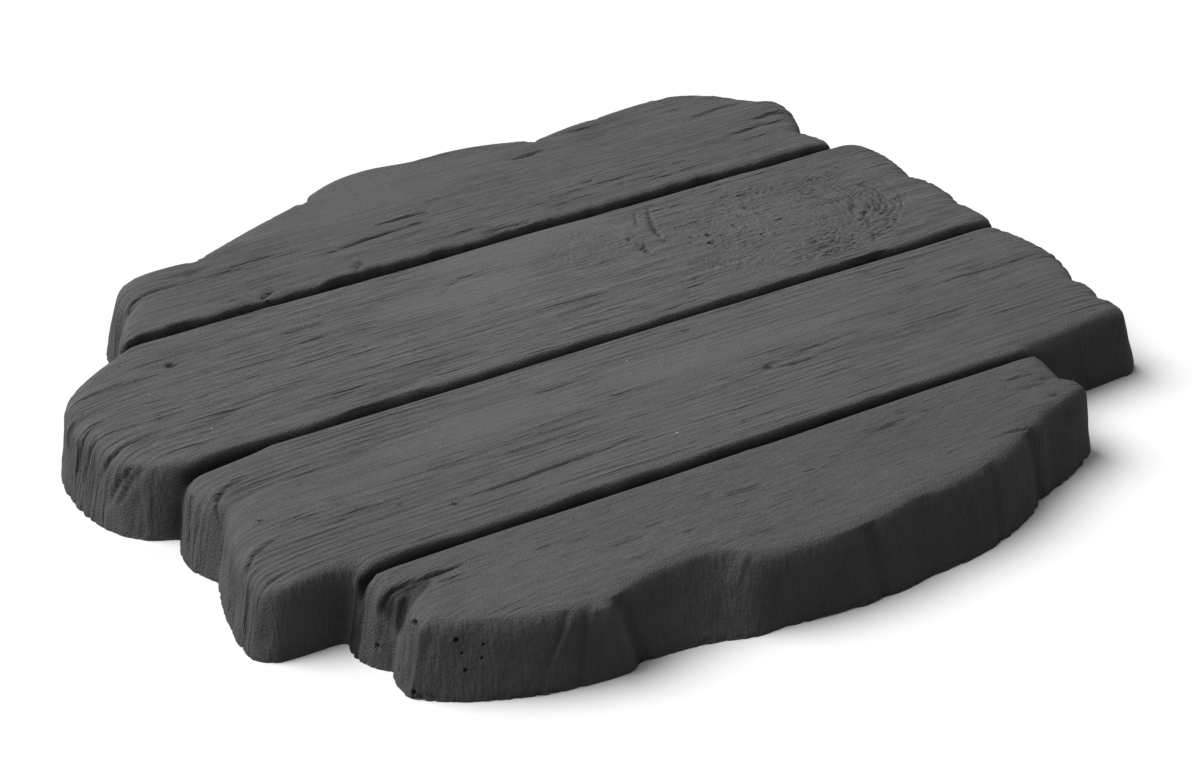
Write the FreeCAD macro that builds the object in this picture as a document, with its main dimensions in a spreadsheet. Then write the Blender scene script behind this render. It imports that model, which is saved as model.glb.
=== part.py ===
"""Garden stepping stone: one slab of cast concrete in the shape of four old planks laid side by side."""
import FreeCAD, Part
import os

import Sketcher

NODE = "stepping_stone"

# Driving sizes in millimetres. X runs along the planks, Y across them, and Z = 0 is the underside.
SLAB_SIZES = {
    "plank_length": 456,
    "thickness": 38,
    "plank_pitch": 102,
    "back_plank_width": 102,
    "front_plank_width": 76,
    "middle_groove_offset": 13,
    "draft_left": 5,
    "draft_right": 5,
    "draft_front": 6,
    "draft_back": 6,
    "draft_tip": 11,
    "draft_hollow": 11,
    "edge_drop": 8,
    "end_round": 9,
    "side_round": 6,
}

GROOVE_SIZES = {
    "groove_width": 6.5,
    "groove_depth": 13,
    "groove_floor_sag": 2,
    "groove_front_lip_round": 1,
    "groove_back_lip_round": 2,
    "groove_clearance": 4,
}

SPLIT_SIZES = {
    "split_depth": 1.2,
}

# The grooves' middles, and the lines that the outline is measured from.
BACK_GROOVE = "sizes.plank_pitch - sizes.middle_groove_offset"
MIDDLE_GROOVE = "-sizes.middle_groove_offset"
FRONT_GROOVE = "-sizes.plank_pitch - sizes.middle_groove_offset"
ALONG_LINES = {
    "left": "-sizes.plank_length / 2 + {}",
    "middle": "{}",
    "right": "sizes.plank_length / 2 - {}",
}
ACROSS_LINES = {
    "front": FRONT_GROOVE + " - sizes.front_plank_width + {}",
    "front_groove": FRONT_GROOVE + " + {}",
    "middle_groove": MIDDLE_GROOVE + " + {}",
    "back_groove": BACK_GROOVE + " + {}",
    "back": BACK_GROOVE + " + sizes.back_plank_width - {}",
}

# Joints of the outline at the underside, anticlockwise from the front left corner. Each has the sides
# that the wall leans in from, its place along and across the planks, and the swell up to the next joint.
OUTLINE = [
    ("front_left_corner", "left", ("left", 60), ("front", 38), 6),
    ("front_hollow_left", "step", ("middle", -92), ("front", 10), -4),
    ("front_hollow_right", "hollow", ("middle", -40), ("front", 7), 2),
    ("front_chip", "step", ("middle", -18), ("front", 5), 4),
    ("front_swell_end", "front", ("middle", 52), ("front", 3), 3),
    ("front_turn", "front", ("right", 126), ("front", 12), 1),
    ("front_notch", "front", ("right", 95), ("front", 28), 2),
    ("front_right_corner", "right", ("right", 62), ("front", 44), 3),
    ("front_plank_right_crease", "right", ("right", 67), ("front", 54), 2),
    ("front_plank_right_root", "step right", ("right", 65), ("front_groove", 5), 0.5),
    ("third_plank_right_corner", "step right", ("right", 14), ("front_groove", 9), 3),
    ("third_plank_right_tip", "tip", ("right", 0), ("front_groove", 16), 0.5),
    ("third_plank_right_crease", "right", ("right", 9), ("front_groove", 26), 3),
    ("third_plank_right_dent", "right", ("right", 9), ("front_groove", 43), 8),
    ("middle_right_notch", "right", ("right", 12), ("middle_groove", -1), 4),
    ("second_plank_right_crease", "right", ("right", 11), ("middle_groove", 25), 4.5),
    ("second_plank_right_dent", "right", ("right", 15), ("middle_groove", 59), 1.5),
    ("second_plank_right_corner", "right", ("right", 13), ("back_groove", -13), 4),
    ("back_right_notch", "right", ("right", 31), ("back_groove", 0), 4),
    ("back_plank_right_crease", "right", ("right", 36), ("back_groove", 22), 2),
    ("back_plank_right_tip", "right", ("right", 25), ("back", 51), 3),
    ("back_plank_right_corner", "back right", ("right", 34), ("back", 35), 1),
    ("back_chip", "back right", ("right", 42), ("back", 25), 4),
    ("back_shoulder", "back", ("right", 84), ("back", 6), 1),
    ("back_first_notch", "back", ("right", 123), ("back", 9), 1.5),
    ("back_second_notch", "back", ("right", 159), ("back", 15), 5),
    ("back_middle", "back", ("middle", 4), ("back", 4), 8),
    ("back_third_notch", "back", ("left", 172), ("back", 13), 1.5),
    ("back_fourth_notch", "back", ("left", 105), ("back", 40), 2),
    ("back_left_corner", "back left", ("left", 62), ("back", 41), 4),
    ("back_plank_left_split", "left", ("left", 59), ("back_groove", 32), 4),
    ("back_left_notch", "left", ("left", 42), ("back_groove", -2), 3),
    ("second_plank_left_back", "left", ("left", 7), ("back_groove", -20), 7),
    ("second_plank_left_front", "left", ("left", 7), ("middle_groove", 21), 3),
    ("middle_left_notch", "left", ("left", 28), ("middle_groove", 4), 6),
    ("third_plank_left_crease", "left", ("left", 29), ("middle_groove", -32), 2.5),
    ("third_plank_left_corner", "left", ("left", 18), ("front_groove", 21), 4),
    ("third_plank_left_front", "step left", ("left", 31), ("front_groove", 9), 0.5),
    ("front_plank_left_root", "step left", ("left", 56), ("front_groove", 8), 5),
    ("front_plank_left_crease", "left", ("left", 63), ("front", 57), 2),
]

# How far the wall has leaned in at the round's foot, and how wide the round is, on each side. A step is
# an upright stretch, as where a longer plank stands out beside a shorter one. The tip is the blunt end of
# the third plank, and the hollow is worn back into the front plank's edge.
LEANS = {
    "left": ("x", "+", "sizes.draft_left", "sizes.end_round"),
    "right": ("x", "-", "sizes.draft_right", "sizes.end_round"),
    "tip": ("x", "-", "sizes.draft_tip", "sizes.end_round"),
    "front": ("y", "+", "sizes.draft_front", "sizes.side_round"),
    "hollow": ("y", "+", "sizes.draft_hollow", "sizes.side_round"),
    "back": ("y", "-", "sizes.draft_back", "sizes.side_round"),
    "step": ("y", "+", "0", "sizes.side_round"),
}

# The larger splits in the planks' tops: the left end's place, the right end's place, and the width.
SPLITS = [
    ("back_end_split", ("left", 101), ("back_groove", 35), ("left", 121), ("back_groove", 35), 2.6),
    ("back_long_split", ("middle", -73), ("back_groove", 28), ("middle", -28), ("back_groove", 31), 2),
    ("back_short_split", ("middle", 46), ("back_groove", 64), ("middle", 67), ("back_groove", 65), 2.4),
    ("back_right_split", ("right", 58), ("back_groove", 41), ("right", 30), ("back_groove", 42), 2.8),
    ("back_low_split", ("right", 76), ("back_groove", 33), ("right", 38), ("back_groove", 33), 2.4),
    ("second_left_split", ("left", 6), ("middle_groove", 23), ("left", 40), ("middle_groove", 28), 2.6),
    ("second_short_split", ("left", 109), ("middle_groove", 74), ("left", 132), ("middle_groove", 75), 2.4),
    ("second_wavy_split", ("middle", -53), ("middle_groove", 69), ("middle", -5), ("middle_groove", 83), 1.6),
    ("knot_split", ("right", 107), ("middle_groove", 79), ("right", 90), ("middle_groove", 77), 2.6),
    ("third_left_split", ("left", 20), ("middle_groove", -30), ("left", 50), ("middle_groove", -21), 2.6),
    ("third_corner_split", ("left", 18), ("front_groove", 30), ("left", 42), ("front_groove", 37), 2.8),
    ("third_middle_split", ("left", 42), ("front_groove", 50), ("middle", 30), ("front_groove", 48), 1.6),
    ("third_long_split", ("left", 111), ("front_groove", 24), ("middle", 1), ("front_groove", 28), 2),
    ("third_short_split", ("middle", -51), ("front_groove", 78), ("middle", -24), ("front_groove", 78), 2.2),
    ("third_right_split", ("right", 64), ("front_groove", 67), ("right", 8), ("front_groove", 67), 2.6),
    ("third_arrow_split", ("middle", 47), ("front_groove", 47), ("middle", 113), ("front_groove", 52), 1.8),
    ("front_end_split", ("left", 44), ("front_groove", -30), ("left", 97), ("front_groove", -15), 3.2),
    ("front_first_split", ("middle", -80), ("front_groove", -35), ("middle", -59), ("front_groove", -35), 2.2),
    ("front_second_split", ("middle", 56), ("front_groove", -18), ("middle", 77), ("front_groove", -18), 2.4),
    ("front_right_split", ("right", 100), ("front_groove", -23), ("right", 80), ("front_groove", -23), 2.2),
]

# A quarter round rises and draws in by these shares of its radius at its start, half-way and end.
HALF_RISE = "sqrt(0.5)"
HALF_DRAW = "(1 - sqrt(0.5))"


def fill_sheet(doc):
    """The sheet of sizes: one plain number to a cell, each with an alias."""
    sizes = dict(SLAB_SIZES)
    sizes.update(GROOVE_SIZES)
    for name, lean, along, across, swell in OUTLINE:
        sizes[name + "_along"] = along[1]
        sizes[name + "_across"] = across[1]
        sizes[name + "_swell"] = swell
    sizes.update(SPLIT_SIZES)
    for name, start_along, start_across, end_along, end_across, width in SPLITS:
        sizes[name + "_start_along"] = start_along[1]
        sizes[name + "_start_across"] = start_across[1]
        sizes[name + "_end_along"] = end_along[1]
        sizes[name + "_end_across"] = end_across[1]
        sizes[name + "_width"] = width
    sheet = doc.addObject("Spreadsheet::Sheet", "sizes")
    for row, (alias, value) in enumerate(sizes.items(), start=1):
        sheet.set("A{}".format(row), alias)
        sheet.set("B{}".format(row), str(value))
        sheet.setAlias("B{}".format(row), alias)
    doc.recompute()


def number(doc, expression):
    """The present value of an expression of sizes."""
    return float(doc.getObject("sizes").evalExpression(expression.replace("sizes.", "")))


def origin_plane(body, role):
    """One of the body's own origin planes."""
    return next(plane for plane in body.Origin.OriginFeatures if plane.Role == role)


def new_sketch(body, name, role):
    """An empty sketch on one of the body's origin planes."""
    sketch = body.newObject("Sketcher::SketchObject", name)
    sketch.AttachmentSupport = [(origin_plane(body, role), "")]
    sketch.MapMode = "FlatFace"
    return sketch


def draw_loop(doc, sketch, joints):
    """A closed anticlockwise loop. A joint has a name, two places and the swell up to the next joint.

    A stretch is an arc that swells out of the loop, or into it where the swell is negative, and a
    straight line where the swell is None.
    """
    corners = [FreeCAD.Vector(number(doc, x), number(doc, y), 0) for name, x, y, swell in joints]
    constraints = []
    bindings = []
    edges = []

    def bind(label, constraint, expression):
        bindings.append((len(constraints), label, expression))
        constraints.append(constraint)

    for index, (name, x, y, swell) in enumerate(joints):
        start = corners[index]
        end = corners[(index + 1) % len(joints)]
        if swell is None:
            edges.append((sketch.addGeometry(Part.LineSegment(start, end)), 1, 2))
            continue
        height = number(doc, swell)
        chord = end - start
        outward = FreeCAD.Vector(chord.y, -chord.x, 0).normalize()
        crown = (start + end) / 2 + outward * height
        edge = sketch.addGeometry(Part.Arc(start, crown, end))
        edges.append((edge, 1, 2) if height > 0 else (edge, 2, 1))
        here = "Constraints." + name
        there = "Constraints." + joints[(index + 1) % len(joints)][0]
        span = "hypot({0}_x - {1}_x; {0}_y - {1}_y)".format(there, here)
        rise = "abs({}) * 1 mm".format(swell)
        radius = "{0}^2 / (8 * {1}) + {1} / 2".format(span, rise)
        bind(name + "_radius", Sketcher.Constraint("Radius", edge, sketch.Geometry[edge].Radius), radius)
    for index, (edge, first, last) in enumerate(edges):
        following = edges[(index + 1) % len(edges)]
        constraints.append(Sketcher.Constraint("Coincident", edge, last, following[0], following[1]))
        name, x, y, swell = joints[index]
        corner = corners[index]
        bind(name + "_x", Sketcher.Constraint("DistanceX", -1, 1, edge, first, corner.x), x)
        bind(name + "_y", Sketcher.Constraint("DistanceY", -1, 1, edge, first, corner.y), y)
    offset = sketch.ConstraintCount
    sketch.addConstraint(constraints)
    for index, label, expression in bindings:
        sketch.renameConstraint(offset + index, label)
    for index, label, expression in bindings:
        sketch.setExpression("Constraints." + label, expression)


def add_outline(doc, body, name, height, leaned, drawn):
    """A sketch of the outline at a height, with shares of the wall's lean and of the edge's round."""
    sketch = new_sketch(body, name, "XY_Plane")
    sketch.setExpression("AttachmentOffset.Base.z", height)
    joints = []
    for joint, lean, along, across, swell in OUTLINE:
        place = {
            "x": ALONG_LINES[along[0]].format("sizes." + joint + "_along"),
            "y": ACROSS_LINES[across[0]].format("sizes." + joint + "_across"),
        }
        for side in lean.split():
            axis, sign, draft, worn = LEANS[side]
            place[axis] += " {} ({} * {} + {} * {})".format(sign, leaned, draft, drawn, worn)
        joints.append((joint, place["x"], place["y"], "sizes." + joint + "_swell"))
    draw_loop(doc, sketch, joints)
    return sketch


def add_slab(doc, body):
    """The slab: a leaning wall up to the foot of the round, then the worn round up to the top."""
    foot = "sizes.thickness - sizes.edge_drop"
    underside = add_outline(doc, body, "underside_outline", "0", "0", "0")
    shoulder = add_outline(doc, body, "shoulder_outline", foot, "1", "0")
    brow = add_outline(doc, body, "brow_outline", foot + " + sizes.edge_drop * " + HALF_RISE, "1", HALF_DRAW)
    top = add_outline(doc, body, "top_outline", "sizes.thickness", "1", "1")
    wall = body.newObject("PartDesign::AdditiveLoft", "wall")
    wall.Profile = underside
    wall.Sections = [shoulder]
    wall.Ruled = True
    worn_edge = body.newObject("PartDesign::AdditiveLoft", "worn_edge")
    worn_edge.Profile = shoulder
    worn_edge.Sections = [brow, top]
    worn_edge.Ruled = True
    doc.recompute()
    return worn_edge


def groove_joints(name, middle):
    """The joints of one groove's section: a sharp front lip, a rounded floor and a worn back lip."""
    front = "(" + middle + " - sizes.groove_width / 2)"
    back = "(" + middle + " + sizes.groove_width / 2)"
    top = "sizes.thickness"
    floor = top + " - sizes.groove_depth"
    sky = top + " + sizes.groove_clearance"
    front_round = "sizes.groove_front_lip_round"
    back_round = "sizes.groove_back_lip_round"
    joints = [
        ("sky_front", front + " - " + front_round, sky, None),
        ("front_lip", front + " - " + front_round, top, "-" + front_round + " * " + HALF_DRAW),
        ("front_wall", front, top + " - " + front_round, None),
        ("front_floor", front, floor, "sizes.groove_floor_sag"),
        ("back_floor", back, floor, None),
        ("back_wall", back, top + " - " + back_round, "-" + back_round + " * " + HALF_DRAW),
        ("back_lip", back + " + " + back_round, top, None),
        ("sky_back", back + " + " + back_round, sky, None),
    ]
    return [(name + "_" + joint, y, z, swell) for joint, y, z, swell in joints]


def add_grooves(doc, body):
    """The three grooves between the planks, open at both ends."""
    sketch = new_sketch(body, "groove_sections", "YZ_Plane")
    for name, middle in (("rear", BACK_GROOVE), ("centre", MIDDLE_GROOVE), ("fore", FRONT_GROOVE)):
        draw_loop(doc, sketch, groove_joints(name, "(" + middle + ")"))
    grooves = body.newObject("PartDesign::Pocket", "grooves")
    grooves.Profile = sketch
    grooves.Type = "ThroughAll"
    grooves.Midplane = True
    doc.recompute()
    return grooves


def add_splits(doc, body):
    """The larger splits in the tops, each a shallow lens."""
    sketch = new_sketch(body, "split_outlines", "XY_Plane")
    sketch.setExpression("AttachmentOffset.Base.z", "sizes.thickness")
    for name, start_along, start_across, end_along, end_across, width in SPLITS:
        joints = []
        for tip, along, across in (("start", start_along, start_across), ("end", end_along, end_across)):
            joint = name + "_" + tip
            x = ALONG_LINES[along[0]].format("sizes." + joint + "_along")
            y = ACROSS_LINES[across[0]].format("sizes." + joint + "_across")
            joints.append((joint, x, y, "sizes." + name + "_width / 2"))
        draw_loop(doc, sketch, joints)
    splits = body.newObject("PartDesign::Pocket", "splits")
    splits.Profile = sketch
    splits.setExpression("Length", "sizes.split_depth")
    doc.recompute()
    return splits


def check_document(doc):
    """Stop if any object failed or the finished stone isn't one valid solid."""
    for item in doc.Objects:
        if "Invalid" in item.State or "Error" in item.State:
            raise RuntimeError("{} failed: {}".format(item.Name, item.State))
    shape = doc.getObject(NODE).Shape
    if shape.isNull() or not shape.isValid() or len(shape.Solids) != 1:
        raise RuntimeError("the stepping stone isn't one valid solid")


def main():
    doc = FreeCAD.newDocument("garden_stepping_stone")
    fill_sheet(doc)
    body = doc.addObject("PartDesign::Body", NODE)
    body.Label = NODE
    slab = add_slab(doc, body)
    grooves = add_grooves(doc, body)
    splits = add_splits(doc, body)
    body.Placement = FreeCAD.Placement()
    doc.recompute()
    check_document(doc)
    if not grooves.Shape.Volume < slab.Shape.Volume:
        raise RuntimeError("the grooves cut nothing")
    if not splits.Shape.Volume < grooves.Shape.Volume:
        raise RuntimeError("the splits cut nothing")
    os.makedirs("parts", exist_ok=True)
    body.Shape.exportStep("parts/{}.step".format(body.Label))


main()
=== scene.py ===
"""Garden stepping stone: the look of one concrete casting shaped like four weathered planks."""
import math

import bpy
import numpy as np
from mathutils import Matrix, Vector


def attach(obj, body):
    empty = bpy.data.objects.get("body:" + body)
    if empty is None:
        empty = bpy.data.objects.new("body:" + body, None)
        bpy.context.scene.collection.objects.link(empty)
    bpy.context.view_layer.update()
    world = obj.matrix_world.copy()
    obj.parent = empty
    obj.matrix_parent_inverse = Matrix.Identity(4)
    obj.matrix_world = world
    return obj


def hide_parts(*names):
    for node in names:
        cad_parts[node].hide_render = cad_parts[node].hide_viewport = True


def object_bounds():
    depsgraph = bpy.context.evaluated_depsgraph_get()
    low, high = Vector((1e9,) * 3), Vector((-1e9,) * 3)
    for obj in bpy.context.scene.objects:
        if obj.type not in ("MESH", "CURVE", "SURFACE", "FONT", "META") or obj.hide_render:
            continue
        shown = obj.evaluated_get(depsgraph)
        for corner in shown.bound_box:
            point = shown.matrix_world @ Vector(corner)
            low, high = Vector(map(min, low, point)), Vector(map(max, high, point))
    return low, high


bl_info = {
    "name": "Weathered Plank Stepping Stone",
    "version": (1, 0, 0),
    "blender": (4, 5, 0),
    "location": "3D View > Sidebar > Stepping Stone",
    "description": "Presses wood grain, splits and a knot into a cast concrete stepping stone",
    "category": "Object",
}

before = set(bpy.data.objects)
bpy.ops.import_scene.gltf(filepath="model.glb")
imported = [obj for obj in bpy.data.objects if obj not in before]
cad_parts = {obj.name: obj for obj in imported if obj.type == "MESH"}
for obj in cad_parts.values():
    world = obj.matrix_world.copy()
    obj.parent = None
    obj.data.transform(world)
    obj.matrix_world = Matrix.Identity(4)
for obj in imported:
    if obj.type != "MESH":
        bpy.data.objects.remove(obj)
CAD_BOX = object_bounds()

CASTING = "stepping_stone"
STONE = "weathered_stone"
MM = 0.001
TOP = CAD_BOX[1].z / MM

# The planks' lie, in millimetres: X runs along them, and the grooves between them are at these Y places.
FRONT_GROOVE = -115.0
MIDDLE_GROOVE = -13.0
BACK_GROOVE = 89.0
GROOVES = (FRONT_GROOVE, MIDDLE_GROOVE, BACK_GROOVE)

# Soft limits of the front and the back wall, across the planks, and heights of the grooves' worn lips.
FRONT_WALL = (-145.0, -135.0)
BACK_WALL = (125.0, 140.0)
LIP_HEIGHTS = (TOP - 12.0, TOP - 5.0)

# How far the noise is shifted at each groove, so that every plank has a grain of its own.
GRAIN_SHIFTS = (53.7, 31.1, 17.3)

# Cracks in the planks' tops: half width, depth, and the points that they run through, along and across
# the planks from left to right. Past a plank's end they run on down its wall. All in millimetres.
CRACKS = {
    "back_end_line": (0.9, 1.3, [(-188, 119), (-172, 123), (-147, 125), (-128, 124)]),
    "back_end_lens": (1.0, 1.1, [(-127, 124), (-107, 124)]),
    "back_long_line": (1.0, 1.5, [(-76, 115), (-63, 117), (-47, 119), (-28, 120), (-12, 119)]),
    "back_upper_line": (0.9, 1.3, [(-40, 128), (-25, 128), (-12, 128)]),
    "back_short_lens": (0.9, 1.0, [(46, 153), (67, 154)]),
    "back_right_top_crease": (1.0, 1.3, [(144, 147), (160, 149), (181, 148)]),
    "back_right_crease": (1.3, 1.3, [(170, 130), (182, 132), (200, 130)]),
    "back_right_low_crease": (1.1, 1.0, [(152, 122), (172, 124), (194, 121)]),
    "back_fine_line": (0.6, 0.9, [(78, 106), (95, 105), (112, 106)]),
    "back_first_streak": (0.7, 0.9, [(42, 109), (75, 111), (120, 110)]),
    "back_second_streak": (0.6, 0.8, [(85, 101), (120, 103), (165, 101)]),
    "back_third_streak": (0.6, 0.8, [(20, 104), (48, 102), (70, 103)]),
    "second_left_line": (0.7, 1.0, [
        (-232, 59), (-219, 58), (-207, 58), (-196, 59), (-184, 57), (-171, 58)]),
    "second_lens": (0.9, 1.0, [(-119, 61), (-96, 62)]),
    "second_wavy_line": (0.6, 0.8, [(-53, 56), (-42, 57), (-36, 62), (-28, 65), (-16, 66), (-3, 71)]),
    "second_grain_arc": (0.6, 0.6, [(-208, 25), (-178, 29), (-148, 35), (-88, 34), (-28, 29)]),
    "second_left_split": (1.3, 1.5, [(-246, 22), (-230, 17), (-221, 15), (-209, 16), (-187, 15)]),
    "second_curl": (1.5, 1.4, [(80, 80), (75, 71), (72, 63), (70, 56), (69, 47)]),
    "second_curl_shade": (1.1, 0.9, [(72, 79), (68, 71), (65, 65)]),
    "second_curl_end": (1.0, 0.8, [(84, 76), (91, 74), (98, 74)]),
    "second_small_arc": (1.2, 1.1, [(54, 45), (58, 48), (61, 53)]),
    "second_small_hook": (1.1, 1.0, [(54, 55), (57, 59)]),
    "second_short_crack": (0.6, 0.9, [(101, 77), (119, 77)]),
    "knot_top_blotch": (1.2, 0.7, [(121, 66), (130, 66), (138, 64)]),
    "knot_right_first_stroke": (1.2, 1.3, [(175, 25), (180, 36)]),
    "knot_right_second_stroke": (1.1, 1.2, [(169, 20), (173, 31)]),
    "knot_right_third_stroke": (1.0, 1.1, [(164, 31), (167, 42)]),
    "knot_right_fourth_stroke": (1.0, 1.0, [(183, 20), (187, 30)]),
    "knot_low_first_stroke": (1.1, 1.0, [(158, 12), (164, 22)]),
    "knot_low_second_stroke": (1.0, 0.9, [(151, -2), (158, 7)]),
    "knot_low_third_stroke": (1.0, 0.8, [(165, 5), (171, 14)]),
    "knot_low_fourth_stroke": (0.9, 0.7, [(143, 4), (149, 11)]),
    "knot_first_row": (0.8, 0.9, [(116, 3), (124, -1), (133, 2)]),
    "knot_second_row": (0.8, 0.9, [(120, 10), (129, 6), (139, 10)]),
    "knot_third_row": (0.7, 0.8, [(124, 16), (133, 13), (141, 17)]),
    "third_lens": (0.8, 0.9, [(-51, -37), (-24, -37)]),
    "third_left_split": (1.4, 1.5, [(-212, -45), (-200, -39), (-190, -34), (-178, -34)]),
    "third_faint_line": (0.5, 0.7, [(-169, -43), (-147, -43)]),
    "third_middle_line": (0.5, 0.5, [(-186, -64), (-158, -66), (-142, -66), (-60, -65), (30, -67)]),
    "third_middle_lens": (0.8, 0.8, [(-160, -66), (-140, -66)]),
    "third_corner_split": (1.4, 1.6, [(-214, -86), (-202, -82), (-186, -78)]),
    "third_long_line": (0.9, 1.1, [(-117, -91), (-88, -90), (-58, -89), (1, -87)]),
    "third_right_crack": (0.9, 1.1, [(164, -48), (190, -49), (224, -48)]),
    "third_arrow_upper": (0.7, 0.6, [(47, -68), (58, -66), (84, -65), (113, -63)]),
    "third_arrow_lower": (0.7, 0.8, [(48, -70), (60, -72), (88, -71)]),
    "front_end_split": (1.7, 2.6, [
        (-182, -127), (-175, -128), (-167, -129), (-152, -131), (-131, -131)]),
    "front_end_hollow": (6.5, 3.2, [(-184, -131), (-175, -132), (-164, -133), (-146, -132)]),
    "front_first_crack": (0.7, 0.7, [(-80, -150), (-59, -150)]),
    "front_second_crack": (0.7, 1.2, [(-20, -143), (1, -145)]),
    "front_third_crack": (0.6, 0.9, [(-104, -137), (-95, -137)]),
    "front_fourth_crack": (0.6, 1.0, [(16, -144), (25, -144)]),
    "front_fifth_crack": (0.6, 0.9, [(32, -141), (40, -141)]),
    "front_sixth_crack": (0.8, 0.8, [(56, -133), (77, -133)]),
    "front_seventh_crack": (0.8, 1.2, [(104, -162), (119, -163)]),
    "front_right_crack": (0.7, 0.7, [(128, -138), (148, -138)]),
    "front_right_line": (0.6, 0.9, [(127, -130), (148, -130)]),
    "second_end_first_flute": (1.3, 1.6, [(-250, 15), (-230, 9), (-216, 3)]),
    "second_end_second_flute": (1.2, 1.5, [(-244, 9), (-225, 4), (-211, -1)]),
    "second_end_third_flute": (1.2, 1.3, [(-238, 2), (-218, -3), (-205, -6)]),
    "second_end_fourth_flute": (1.2, 1.3, [(-254, 32), (-232, 29), (-216, 27)]),
    "second_end_fifth_flute": (1.2, 1.3, [(-252, 38), (-231, 36), (-212, 36)]),
    "second_end_sixth_flute": (1.1, 1.0, [(-260, 52), (-240, 53), (-218, 52)]),
    "third_end_first_flute": (1.3, 1.4, [(-240, -28), (-222, -25), (-206, -24)]),
    "third_end_second_flute": (1.2, 1.3, [(-244, -60), (-224, -57), (-204, -55)]),
    "third_end_third_flute": (1.2, 1.2, [(-246, -72), (-228, -70), (-206, -67)]),
    "third_end_fourth_flute": (1.2, 1.3, [(-250, -92), (-232, -91), (-214, -90)]),
    "back_lip_first_chip": (1.6, 2.2, [(-113, 92), (-105, 99)]),
    "back_lip_second_chip": (1.3, 1.8, [(-65, 93), (-59, 104)]),
    "back_lip_third_chip": (1.2, 1.4, [(-2, 95), (12, 96), (27, 94)]),
    "middle_lip_chip": (1.4, 1.8, [(147, -10), (156, -11)]),
}

# Holes and dents in the tops: place along and across, radius, and depth as a share of the radius.
PITS = {
    "back_plank_hole": (68, 115, 1.7, 1.0),
    "second_plank_hole": (-170, 62, 2.2, 0.9),
    "second_plank_first_hole": (89, 42, 1.5, 1.0),
    "second_plank_second_hole": (86, 35, 1.6, 1.0),
    "second_plank_third_hole": (81, 44, 1.1, 0.9),
    "second_plank_fourth_hole": (85, 43, 1.1, 0.8),
    "second_plank_fifth_hole": (57, 43, 1.6, 0.7),
    "second_plank_sixth_hole": (69, 48, 1.4, 0.9),
    "second_plank_seventh_hole": (178, 67, 1.0, 0.9),
    "second_plank_eighth_hole": (171, 64, 1.0, 0.9),
    "second_plank_ninth_hole": (81, 36, 1.1, 0.9),
    "second_plank_tenth_hole": (78, 39, 1.0, 0.9),
    "second_plank_eleventh_hole": (94, 38, 1.0, 0.8),
    "second_plank_twelfth_hole": (57, 51, 1.4, 0.7),
    "knot_first_dot": (104, 44, 1.3, 0.7),
    "knot_second_dot": (109, 40, 1.2, 0.7),
    "knot_third_dot": (111, 50, 1.4, 0.7),
    "knot_fourth_dot": (111, 30, 1.2, 0.7),
    "knot_fifth_dot": (118, 55, 1.4, 0.7),
    "knot_sixth_dot": (120, 48, 1.2, 0.7),
    "knot_seventh_dot": (123, 38, 1.0, 0.8),
    "knot_eighth_dot": (127, 38, 1.2, 0.8),
    "knot_ninth_dot": (149, 55, 1.0, 0.8),
    "third_plank_arrowhead": (50, -69, 2.2, 0.6),
    "third_plank_first_hole": (-187, -64, 1.2, 0.8),
    "third_plank_second_hole": (-134, -82, 1.3, 0.8),
    "third_plank_third_hole": (-115, -93, 1.3, 0.8),
    "third_plank_fourth_hole": (18, -100, 1.2, 0.8),
    "third_plank_fifth_hole": (35, -25, 1.2, 0.8),
    "front_plank_hole": (142, -149, 1.4, 1.2),
}

# Air bubbles in the left stretch of the front wall: place along and up, radius, and depth as its share.
BUBBLES = {
    "first_bubble": (-151.7, 28, 1.3, 1.4),
    "second_bubble": (-143, 26, 0.8, 1.6),
    "third_bubble": (-143.6, 20, 0.8, 1.6),
    "fourth_bubble": (-150.2, 22, 0.7, 1.6),
    "fifth_bubble": (-149.4, 14.5, 1.1, 1.4),
    "corner_foot_bubble": (-166.8, 3.5, 1.3, 1.4),
}

# Air bubbles at the front plank's left end: place along, across and up, radius, and depth as its share.
END_BUBBLES = {
    "corner_top_bubble": (-162.5, -148.7, 32.2, 1.4, 1.3),
    "end_first_bubble": (-168.9, -127.8, 10.2, 1.0, 1.4),
    "end_second_bubble": (-167.0, -141.5, 6.5, 1.1, 1.4),
}

# Creases that run up the front wall: place along at the top, half width, depth, and lean to the right.
CREASES = {
    "hollow_crease": (-91, 3.5, 1.8, 0.32),
    "hollow_fold": (-98, 4.5, -1.6, 0.34),
    "fan_ridge": (-108, 1.3, -0.45, -0.45),
    "fan_first_crease": (-111, 1.3, 0.8, -0.35),
    "fan_second_crease": (-104, 1.3, 0.7, -0.1),
    "middle_crease": (20, 4, 1.5, 0.2),
    "right_crease": (116, 4, 1.6, 0.2),
    "turn_crease": (88, 3, 0.9, 0.1),
}

# Notches in the back edge: place along, half width and depth.
NOTCHES = {
    "left_notch": (-124, 2.0, 2.0),
    "hollow_notch": (-56, 2.2, 3.2),
    "middle_notch": (67, 2.0, 2.2),
    "right_notch": (105, 1.8, 1.6),
    "corner_notch": (143, 1.6, 1.2),
}

# The knot in the second plank: its middle and half lengths along and across, and how many rings it has.
KNOT_ALONG = 126.0
KNOT_ACROSS = 34.0
KNOT_LENGTH = 55.0
KNOT_WIDTH = 34.0
KNOT_RINGS = 13.0

# Patches of the tops that are worn smooth: middle along and across, and half lengths.
SMOOTH_PATCHES = {
    "back_plank_far_half": (-40, 158, 90, 20),
    "second_plank_far_middle": (5, 78, 55, 16),
    "second_plank_middle": (-36, 54, 45, 12),
    "third_plank_left": (-138, -63, 32, 8),
    "third_plank_middle": (-80, -46, 55, 10),
    "third_plank_right": (35, -47, 65, 11),
}

# The dented patch beside the knot: middle along and across, and half lengths.
DENTS = (38.0, 58.0, 28.0, 20.0)

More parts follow.
